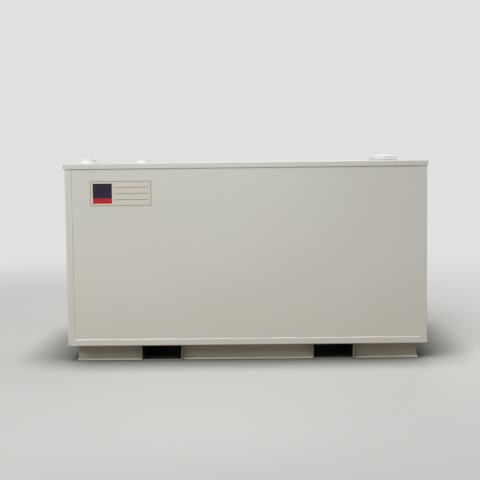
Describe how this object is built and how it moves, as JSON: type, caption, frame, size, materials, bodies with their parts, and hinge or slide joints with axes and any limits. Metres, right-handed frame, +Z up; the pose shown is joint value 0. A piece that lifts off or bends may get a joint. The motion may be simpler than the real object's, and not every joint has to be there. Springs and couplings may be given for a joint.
{
  "type": "double wall fuel tank",
  "caption": "Rectangular double wall steel fuel tank with a folded lid, corner posts, low fittings and a channel skid with fork pockets.",
  "frame": {"origin": "on the floor under the middle of the tank", "axes": "+X along the tank toward the emergency vent, +Y to the rear, +Z up"},
  "size_m": [1.9874, 1.2254, 1.126],
  "materials": {
    "tank_paint": "satin white paint",
    "skid_paint": "satin white paint, dusty",
    "fitting_paint": "gloss white paint",
    "pocket_steel": "white paint over bare steel, scuffed inside",
    "inner_steel": "dull grey primer"
  },
  "bodies": {
    "root": {"skid_channel_front_left": "skid_paint", "skid_channel_front_middle": "skid_paint", "skid_channel_front_right": "skid_paint", "skid_channel_rear_left": "skid_paint", "skid_channel_rear_middle": "skid_paint", "skid_channel_rear_right": "skid_paint", "skid_cross_left": "skid_paint", "skid_cross_centre": "skid_paint", "skid_cross_right": "skid_paint", "fork_pocket_left": "pocket_steel", "fork_pocket_right": "pocket_steel", "outer_floor": "tank_paint", "bottom_rail_front": "tank_paint", "bottom_rail_rear": "tank_paint", "bottom_rail_left": "tank_paint", "bottom_rail_right": "tank_paint", "corner_post_front_left": "tank_paint", "corner_post_front_right": "tank_paint", "corner_post_rear_left": "tank_paint", "corner_post_rear_right": "tank_paint", "front_wall": "tank_paint", "rear_wall": "tank_paint", "left_wall": "tank_paint", "right_wall": "tank_paint", "lid": "tank_paint", "inner_supports": "inner_steel", "inner_floor": "inner_steel", "inner_front_wall": "inner_steel", "inner_rear_wall": "inner_steel", "inner_left_wall": "inner_steel", "inner_right_wall": "inner_steel", "inner_roof": "inner_steel", "fill_riser": "inner_steel", "fill_flange": "fitting_paint", "fill_cap": "fitting_paint", "vent_riser": "inner_steel", "vent_flange": "fitting_paint", "vent_cap": "fitting_paint", "emergency_vent_riser": "inner_steel", "emergency_vent_collar": "fitting_paint", "emergency_vent_cap": "fitting_paint"}
  },
  "joints": []
}
